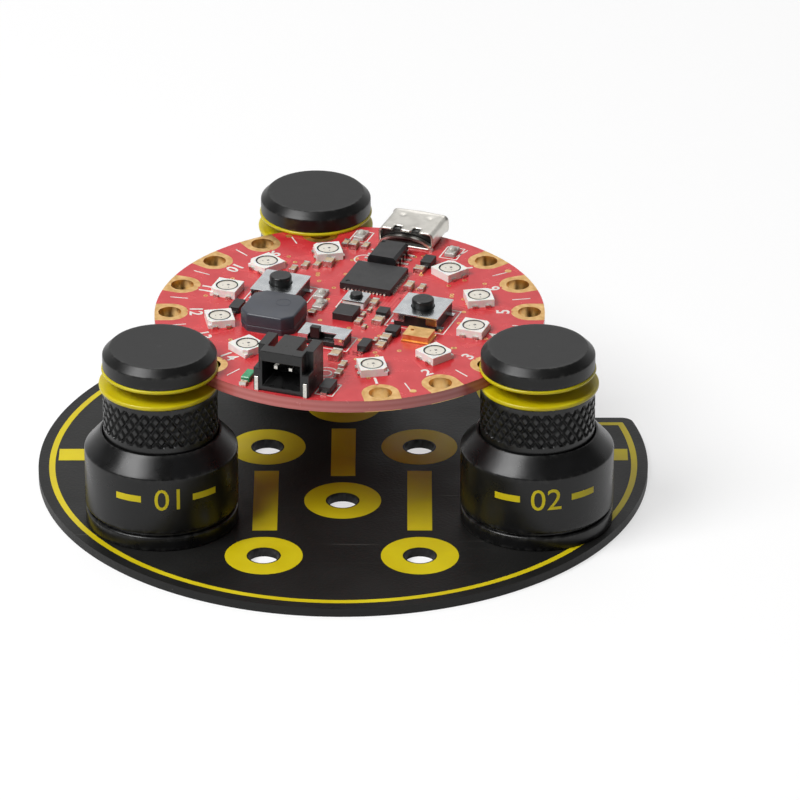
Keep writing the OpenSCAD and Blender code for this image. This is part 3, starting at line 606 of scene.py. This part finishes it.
def plain_number(text, height, bolder):
    """Points and faces of a plain number, height tall, centred on the origin and 0.02 mm
    thick, its strokes widened by bolder on each side and its long sides split so that it can
    be bent."""
    curve = bpy.data.curves.new("number", "FONT")
    curve.body, curve.size = text, height * 1.37 * MM  # the digits are 0.73 of the size
    curve.align_x = "CENTER"
    curve.extrude, curve.resolution_u, curve.offset = INK / 2 * MM, 4, bolder * MM
    bm = bmesh.new()
    bm.from_mesh(drawn(curve))
    bmesh.ops.remove_doubles(bm, verts=bm.verts, dist=1e-7)
    bmesh.ops.triangulate(bm, faces=bm.faces)
    for _ in range(3):
        long_edges = [e for e in bm.edges if e.calc_length() > 0.45 * MM]
        bmesh.ops.subdivide_edges(bm, edges=long_edges, cuts=1)
        bmesh.ops.triangulate(bm, faces=bm.faces)
    points = np.array([v.co for v in bm.verts]) / MM
    faces = [[v.index for v in f.verts] for f in bm.faces]
    bm.free()
    low, high = points.min(0), points.max(0)
    return points - [(low[0] + high[0]) / 2, (low[1] + high[1]) / 2, 0], faces


def wrapped(shape, centre, radius, heading, height):
    """A flat shape bent onto an upright cylinder: x becomes the angle x / radius from heading,
    y the height and z the distance from the wall."""
    points, faces = shape
    angle = heading + points[:, 0] / radius
    out = radius + points[:, 2]
    return np.c_[centre[0] + out * np.cos(angle), centre[1] + out * np.sin(angle),
                 height + points[:, 1]], faces


def knurled_outline(low, high):
    """The sleeve's profile, with points along the knurled band at every 24th of the grooves'
    climb, so that the crossings fall on the grid."""
    outline = rounded([
        (SLEEVE_R, low), (SLEEVE_R, high), (SPINDLE_HOLE_R, high), (SPINDLE_HOLE_R, SLEEVE_ROOF),
        (SLEEVE_BORE_R, SLEEVE_ROOF), (SLEEVE_BORE_R, low)
    ], [0.15, 0.2, 0.1, 0.1, 0, 0.1])
    rows = KNURL_LOW + np.arange(-1, 62) * KNURL_RISE / 24
    rows = np.append(rows[rows < KNURL_HIGH], [KNURL_HIGH, KNURL_HIGH + 0.02])
    return np.insert(outline, 5, np.c_[np.full(len(rows), SLEEVE_R), rows], 0)


def number_print(number, axis):
    """A plain number between two short bars, bent onto the housing's wall."""
    shapes = [plain_number("0" + str(number), NUMBER_H, 0.0)]
    for end in (-1, 1):
        line = np.linspace(3.4, 6.9, 14) * end
        shapes.append(band(np.c_[line, np.full(14, -0.45)], np.c_[line, np.full(14, 0.45)],
                           -INK / 2, INK / 2, False))
    return joined([wrapped(shape, axis, WALL_R + INK / 2, NUMBER_HEADING, NUMBER_Z)
                   for shape in shapes])


def holder(side, number):
    """One holder: foot, housing, knurled sleeve, cap and the two washers, all turned."""
    body, jaw, axis = side + "_holder", side + "_jaw", middle(side + "_cap")
    wall_low, neck_top = span(side + "_housing")
    cap_low, cap_high = span(side + "_cap")
    turned(side + "_foot_ring", rounded([
        (0, MAGNET_TOP), (7.05, MAGNET_TOP), (7.05, plate_top), (9.85, plate_top), (9.85, 3.2),
        (9.3, 3.2), (9.3, 3.65), (FOOT_R, 3.65), (FOOT_R, FOOT_TOP), (0, FOOT_TOP)
    ], [0, 0, 0.1, 0.2, 0.3, 0.1, 0.05, 0.05, 0.1, 0]), axis, body, anodised,
        [side + "_foot"])
    turned(side + "_turned_housing", rounded([
        (WALL_R, wall_low), (WALL_R, SHOULDER), (7.8, neck_top), (7.55, neck_top),
        (7.55, HOUSING_FLOOR), (2.0, HOUSING_FLOOR), (2.0, FOOT_TOP), (FOOT_R + 0.05, FOOT_TOP),
        (FOOT_R + 0.05, wall_low)
    ], [0.3, 0.45, 0.12, 0.08, 0, 0, 0, 0, 0]), axis, body, anodised,
        [side + "_housing"], closed=True)
    turned(side + "_knurled_sleeve", knurled_outline(*span(side + "_sleeve")), axis, jaw,
           knurl_finish, [side + "_sleeve"], closed=True,
           around=12 * KNURL_AROUND, step=0.9, carve=knurl)
    turned(side + "_cap_disc", rounded([
        (0, cap_low), (7.35, cap_low), (7.35, cap_high - 0.95), (6.4, cap_high), (0, cap_high)
    ], [0, 0.12, 0.3, 0.25, 0]), axis, body, cap_face, [side + "_cap"])
    for node, outer, rides_on in (("_upper_washer", 7.5, body), ("_lower_washer", 7.65, jaw)):
        low, high = span(side + node)
        turned(side + node + "_disc", rounded([
            (outer, low), (outer, high), (3.95, high), (3.95, low)
        ], [0.22, 0.22, 0.1, 0.1]), middle(side + node), rides_on,
            washer_yellow, [side + node], closed=True)
    make_piece(side + "_number", number_print(number, axis), body, yellow_ink)


for number, side in enumerate(HOLDERS, 1):
    holder(side, number)
for side in HOLDERS:
    for node, metal in (("_magnet", nickel), ("_spring", wire), ("_spindle", steel)):
        dress(side + node, metal)


# ---- Circuit board ----

for node, material in (("circuit_board", mask), ("pad_eyelets", gold), ("solder_ends", tin),
                       ("usb_tongue", nylon)):
    dress(node, material)

for node, width, material in (
        ("battery_socket", 0.1, nylon), ("battery_pins", 0.05, tin),
        ("button_a_cover", 0.04, cover_steel), ("button_b_cover", 0.04, cover_steel),
        ("reset_cover", 0.04, cover_steel), ("switch_cover", 0.04, cover_steel),
        ("button_a_base", 0.06, nylon), ("button_b_base", 0.06, nylon),
        ("reset_base", 0.06, lamp_white), ("switch_base", 0.06, nylon),
        ("switch_lever", 0.08, nylon), ("pixel_cases", 0.07, lamp_white),
        ("processor", 0.05, epoxy), ("memory_chip", 0.05, epoxy), ("motion_sensor", 0.05, epoxy),
        ("microphone", 0.05, gold), ("moulded_parts", 0.06, epoxy),
        ("ceramic_bodies", 0.04, ceramic)):
    soften(node, width, material)

# places on the board, in its own frame
PAD_ANGLES = np.radians([20 * k for k in range(-3, 4)] + [180 + 20 * k for k in range(-3, 4)])
PIXEL_ANGLES = np.radians([30 * k for k in range(-2, 3)] + [180 + 30 * k for k in range(-2, 3)])
PIXELS = [polar(17.1, angle) for angle in PIXEL_ANGLES]
TRACK_REACH, NUMBER_REACH, DOT_REACH = 19.6, 19.95, 24
LAMP_WELL_R, LAMP_TOP = 1.46, 1.0
BUZZER, BUZZER_TOP = (-8.2, -6.1), 2.6
USB_X, USB_BACK, USB_LENGTH = 0.3, 26.5, 6.0


def board_tracks():
    """Copper under the lacquer: groups of parallel tracks 0.45 mm apart that run straight,
    bend by 45 degrees and run on, and a short track inwards from each pad."""
    strips = []
    for angle in PAD_ANGLES:
        out = polar(1, angle)
        step = polar(1, np.round((angle + np.pi) / (np.pi / 4)) * np.pi / 4)
        strips.append((*track([out * 21.2, out * 19.4, out * 19.4 + step * 3.5], 0.3), False))
    for _ in range(60):
        start = rng.uniform(-17, 17, 2)
        if np.hypot(*start) > 16.5:
            continue
        heading = rng.integers(0, 8) * np.pi / 4
        bend = heading + rng.choice([-1, 1]) * np.pi / 4
        one, two = polar(1, heading), polar(1, bend)
        across = np.array([-one[1], one[0]])
        lengths = rng.uniform(1.5, 4.5, 2)
        for k in range(rng.integers(2, 6)):
            first = start + across * 0.45 * k
            corner = first + one * lengths[0]
            path = np.array([first, corner, corner + two * lengths[1]])
            if np.hypot(*path.T).max() < TRACK_REACH:
                strips.append((*track(path, 0.2), False))
    return raised(strips, 0.012)


make_piece("mask_over_tracks", board_tracks(), "board", track_mask)

vias = rng.uniform(-21, 21, (130, 2))
vias = vias[np.hypot(*vias.T) < 19.5]
make_piece("vias", raised([ring(0.12, 0.3, 12, via) for via in vias], 0.016),
           "board", gold)
test_dots = [ring(0.02, 0.45, 24, polar(DOT_REACH, angle))
             for angle in np.radians([50, -50, 130, 230])]
make_piece("test_dots", raised(test_dots, 0.03), "board", gold)


def legend():
    """White printing: outlines round the larger parts, a short bar beside each pad, and three
    rings."""
    def box_line(x, y, w, h):
        outline = np.array([(x - w / 2, y - h / 2), (x + w / 2, y - h / 2),
                            (x + w / 2, y + h / 2), (x - w / 2, y + h / 2)])
        grown = outline + np.array([(-1, -1), (1, -1), (1, 1), (-1, 1)]) * 0.16
        return outline, grown, True

    strips = [box_line(-10.2, 1.6, 7.9, 6.8), box_line(9.6, 1.5, 7.9, 6.8),
              box_line(0, 2.55, 4.2, 3.5), box_line(-0.1, -8.85, 7.2, 3.9)]
    strips += [box_line(*spot, 2.2, 3.2) for spot in ((-6.3, 21.4), (6.7, 20.9), (5.1, -21.6))]
    for angle in PAD_ANGLES:
        side = angle + np.radians(9.4)
        strips.append((*track([polar(21.5, side), polar(23.9, side)], 0.18), False))
    strips += [ring(1.5, 1.68, 48, (3.2, -17.5)), ring(0.7, 0.88, 32, (3.2, -17.5)),
               ring(1.2, 1.38, 48, (-3.6, 15.2))]
    return raised(strips, INK)


make_piece("legend_lines", legend(), "board", white_ink)


def pad_numbers():
    """Plain numbers inside the pads, their tops towards the board's centre."""
    shapes = []
    for count, angle in enumerate(PAD_ANGLES, 1):
        points, faces = plain_number(str(count), 1.75, 0.05)
        c, s = polar(1, angle + np.pi / 2)
        x, y = points[:, 0] * c - points[:, 1] * s, points[:, 0] * s + points[:, 1] * c
        shapes.append((np.c_[np.c_[x, y] + polar(NUMBER_REACH, angle), points[:, 2] + INK / 2],
                       faces))
    return placed(joined(shapes))


make_piece("pad_numbers", pad_numbers(), "board", white_ink)

for name, body, radius, edge in (("button_a", "button_a", 1.45, 0.25),
                                 ("button_b", "button_b", 1.45, 0.25),
                                 ("reset", "reset_button", 0.8, 0.15)):
    low, high = span(name + "_plunger")
    turned(name + "_plunger_top", rounded([(0, low), (radius, low), (radius, high), (0, high)],
                                          [0, 0.05, edge, 0]), middle(name + "_plunger"), body,
           nylon, [name + "_plunger"], around=96, step=0.4)


def lens_discs():
    """Lamp fillings: shallow domes whose height falls with the square of the distance from
    the middle, down to the well's wall. The mark is the share of the way to the wall."""
    shapes = []
    share = np.linspace(0, 1, 9)
    radius = np.concatenate([share * LAMP_WELL_R, [LAMP_WELL_R, 0]])[:, None]
    z = np.concatenate([LAMP_TOP - 0.03 * share ** 2, [0.46, 0.46]])[:, None]
    around = np.arange(36) * 2 * np.pi / 36
    for x, y in PIXELS:
        points = np.stack([x + radius * np.cos(around), y + radius * np.sin(around),
                           np.broadcast_to(z, (len(z), 36))], -1)
        shapes.append((points.reshape(-1, 3), grid_faces(len(z), 36, False, True)))
    marks = np.repeat(np.concatenate([share, [1, 1]]), 36)
    return placed(joined(shapes)), np.tile(marks, len(PIXELS))


# the well's wall as a ring of painted shade round each filling, and the dies that show through it
make_piece("pixel_well_rims", raised([ring(1.3, LAMP_WELL_R, 40, place) for place in PIXELS],
                                     0.03, LAMP_TOP + 0.03), "board", painted_well_shade)
dies = [ring(0.02, size, 4, place + np.array(step)) for place in PIXELS
        for step, size in (((0.1, 0.2), 0.22), ((-0.5, -0.2), 0.1), ((0.4, -0.5), 0.1))]
make_piece("pixel_dies", raised(dies, INK, LAMP_TOP - 0.015), "board", buzzer_grey)

lens_shape, lens_marks = lens_discs()
make_piece("pixel_fillings", lens_shape, "board", lamp_lens, ["pixel_lenses"],
           marks={"edge": lens_marks})


def lamp_domes():
    """Small clear lamps: a rounded box with a dome on it whose height follows the root of
    1 minus the square of the distance from the middle."""
    shapes = []
    for x, y in ((-6.3, 21.4), (6.7, 20.9), (-5.1, 3.1), (-4.2, 0.2)):
        base = rounded([(x - 0.7, y - 1.2), (x + 0.7, y - 1.2), (x + 0.7, y + 1.2),
                        (x - 0.7, y + 1.2)], 0.1, 4)
        shapes.append(stack(base, [(0, 0), (0.47, 0), (0.55, 0.08)]))
        lean = np.linspace(0, np.pi / 2, 8)[:, None]
        around = np.arange(28)[None, :] * 2 * np.pi / 28
        points = np.stack([x + 0.62 * np.cos(lean) * np.cos(around),
                           y + 0.62 * np.cos(lean) * np.sin(around),
                           0.5 + 0.6 * np.sin(lean) * np.ones_like(around)], -1)
        faces = grid_faces(8, 28, False, True) + [list(range(28))]
        shapes.append((points.reshape(-1, 3), faces))
    return placed(joined(shapes))


make_piece("lamp_domes", lamp_domes(), "board", lamp_clear, ["status_lamps"])
green = stack(rounded([(-6.2, -23.3), (-5, -23.3), (-5, -20.9), (-6.2, -20.9)], 0.12, 4),
              [(0, 0), (0.6, 0), (0.7, 0.1)])
make_piece("green_lamp", placed(green), "board", lamp_green)


def buzzer_case():
    """The buzzer: an octagon with rounded corners, with a foot, a parting groove at a third of
    its height and a rounded top edge."""
    w, c = 3.7, 1.3  # half the width across flats, and each cut corner's legs
    octagon = np.array([(-w + c, -w), (w - c, -w), (w, -w + c), (w, w - c), (w - c, w),
                        (-w + c, w), (-w, w - c), (-w, -w + c)]) + BUZZER
    outline = rounded(octagon, 0.45, 6)
    return stack(outline, [(0, 0.1), (0.5, 0.1), (0.52, 0), (0.86, 0), (0.9, 0.05), (0.96, 0.05),
                           (1.0, 0), (2.3, 0), (2.42, 0.03), (2.53, 0.11), (BUZZER_TOP, 0.26)])


make_piece("buzzer_case", placed(buzzer_case()), "board", buzzer_grey,
           ["buzzer"])
make_piece("buzzer_ring", raised([ring(0.9, 1.02, 48, (-7.2, -5.2))], 0.03, BUZZER_TOP - 0.01),
           "board", buzzer_grey)


def usb_case():
    """The USB shell: a tube of folded sheet whose cross section is a rounded rectangle, carried
    along y; near its mouth the section opens out, and two dents press into its top. The two
    windows of the inner end are left out of the grid."""
    along = np.concatenate([np.linspace(0, 5.2, 27), np.linspace(5.3, USB_LENGTH, 8)])
    section = rounded([(-3.675, 0.125), (3.675, 0.125), (3.675, 2.375), (-3.675, 2.375)], 0.62, 7)
    section = finer(section, 0.3, True)
    flare = np.clip((along - 5.3) / 0.7, 0, 1) ** 2 * 0.16
    out = section - [0, 1.25]
    out /= np.linalg.norm(out, axis=1, keepdims=True)
    x = USB_X + section[None, :, 0] + out[None, :, 0] * flare[:, None]
    z = section[None, :, 1] + np.maximum(out[None, :, 1], -0.3) * flare[:, None]
    y = np.broadcast_to(USB_BACK - USB_LENGTH + along[:, None], x.shape)
    top = section[None, :, 1] > 2.2
    for side in (-1, 1):
        near = (x - USB_X - side * 1.9) ** 2 / 0.09 + (y - USB_BACK + 1.6) ** 2 / 0.2
        z = z - np.where(top, 0.18 * np.exp(-near), 0)
    points = np.stack([x, y, z], -1)
    faces = np.array(grid_faces(len(along), len(section), False, True))
    middle_of = points.reshape(-1, 3)[faces].mean(1)
    window = (np.abs(np.abs(middle_of[:, 0] - USB_X) - 1.27) < 0.6) & (middle_of[:, 2] > 2.2) & (
        middle_of[:, 1] < USB_BACK - USB_LENGTH + 1.25)
    return points.reshape(-1, 3), faces[~window].tolist()


usb = make_piece("usb_case", placed(usb_case()), "board", shell_steel, ["usb_shell"])
sheet = usb.modifiers.new("sheet", "SOLIDIFY")
sheet.thickness, sheet.offset = 0.25 * MM, 0


def usb_band():
    """The band that stands behind the shell's inner end: a rectangle 0.7 mm deep and 0.35 mm
    thick carried along half an ellipse."""
    t = np.linspace(0, np.pi, 37)
    outer = np.c_[3.8 * np.cos(t), 1.75 * np.sin(t)]
    inner = np.c_[3.45 * np.cos(t), 1.4 * np.sin(t)]
    points, faces = band(inner, outer, -0.35, 0.35, False)
    x, z, y = points.T
    return np.c_[x + USB_X, y + USB_BACK - USB_LENGTH, z], faces


make_piece("usb_band", placed(usb_band()), "board", shell_steel)


# ---- Studio ----

def white_ground(name):
    """Matt white paper: where the camera, a reflection or a clear part sees it, it gives over
    half of its white itself, so it stays white and still carries the shadow."""
    material = bpy.data.materials.new(name)
    material.use_nodes = True
    tree = material.node_tree
    tree.nodes.clear()
    path = add(tree, "ShaderNodeLightPath")
    seen = add(tree, "ShaderNodeMath", {"operation": "MAXIMUM"},
               {0: path.outputs["Is Camera Ray"], 1: path.outputs["Is Glossy Ray"]})
    seen = add(tree, "ShaderNodeMath", {"operation": "MAXIMUM"},
               {0: seen.outputs[0], 1: path.outputs["Is Transmission Ray"]})
    paper = add(tree, "ShaderNodeBsdfDiffuse", {"Color": colour_of("#ababab")})
    glow = add(tree, "ShaderNodeEmission", {"Strength": 0.6})
    lit = add(tree, "ShaderNodeAddShader", {}, {0: paper.outputs[0], 1: glow.outputs[0]})
    mix = add(tree, "ShaderNodeMixShader", {},
              {0: seen.outputs[0], 1: paper.outputs[0], 2: lit.outputs[0]})
    add(tree, "ShaderNodeOutputMaterial", {}, {"Surface": mix.outputs[0]})
    return material


def sweep_ground():
    """Floor and backdrop in one: a line back along y that turns up through a quarter circle of
    0.6 m, the same for every x."""
    turn = np.linspace(0, np.pi / 2, 24)
    y = np.concatenate([[-3.0], 1.0 + 0.6 * np.sin(turn), [1.6]])
    z = np.concatenate([[0.0], 0.6 - 0.6 * np.cos(turn), [2.6]])
    x = np.array([-3.0, 3.0])
    points = np.stack([np.broadcast_to(x, (len(y), 2)), np.broadcast_to(y[:, None], (len(y), 2)),
                       np.broadcast_to(z[:, None], (len(y), 2))], -1)
    mesh = bpy.data.meshes.new("ground")
    mesh.from_pydata(points.reshape(-1, 3).tolist(), [], grid_faces(len(y), 2, False, False))
    mesh.shade_smooth()
    mesh.materials.append(white_ground("white_paper"))
    ground = bpy.data.objects.new("ground", mesh)
    bpy.context.scene.collection.objects.link(ground)
    return ground


sweep_ground()


def softbox(name, place, aim, size, power):
    """A square area lamp at place that faces aim."""
    lamp = bpy.data.lights.new(name, "AREA")
    lamp.shape, lamp.size, lamp.energy = "SQUARE", size, power
    box = bpy.data.objects.new(name, lamp)
    box.location = place
    direction = np.array(aim) - np.array(place)
    box.rotation_euler = Vector(direction).to_track_quat("-Z", "Y").to_euler()
    bpy.context.scene.collection.objects.link(box)


softbox("key", (-0.5, -0.34, 0.74), (0, 0, 0.01), 0.5, 9.0)
softbox("top", (0.05, 0.55, 1.0), (0, 0, 0.01), 0.9, 3.6)

world = bpy.data.worlds.new("studio")
bpy.context.scene.world = world
world.use_nodes = True
sky = world.node_tree
sky.nodes.clear()
rays = add(sky, "ShaderNodeLightPath")
room = add(sky, "ShaderNodeBackground", {"Color": (1, 1, 1, 1), "Strength": 0.12})
white = add(sky, "ShaderNodeBackground", {"Color": (1, 1, 1, 1), "Strength": 1.0})
choice = add(sky, "ShaderNodeMixShader", {},
             {0: rays.outputs["Is Camera Ray"], 1: room.outputs[0], 2: white.outputs[0]})
add(sky, "ShaderNodeOutputWorld", {}, {"Surface": choice.outputs[0]})

camera_data = bpy.data.cameras.new("camera")
camera_data.sensor_width, camera_data.lens = 36.0, 314.15
camera_data.clip_start, camera_data.clip_end = 0.01, 20.0
camera = bpy.data.objects.new("camera", camera_data)
camera.location = (0.00745, -0.81144, 0.4285)
camera.rotation_euler = (np.radians(62.73), 0, 0)
bpy.context.scene.collection.objects.link(camera)
bpy.context.scene.camera = camera
bpy.context.scene.view_settings.view_transform = "Standard"
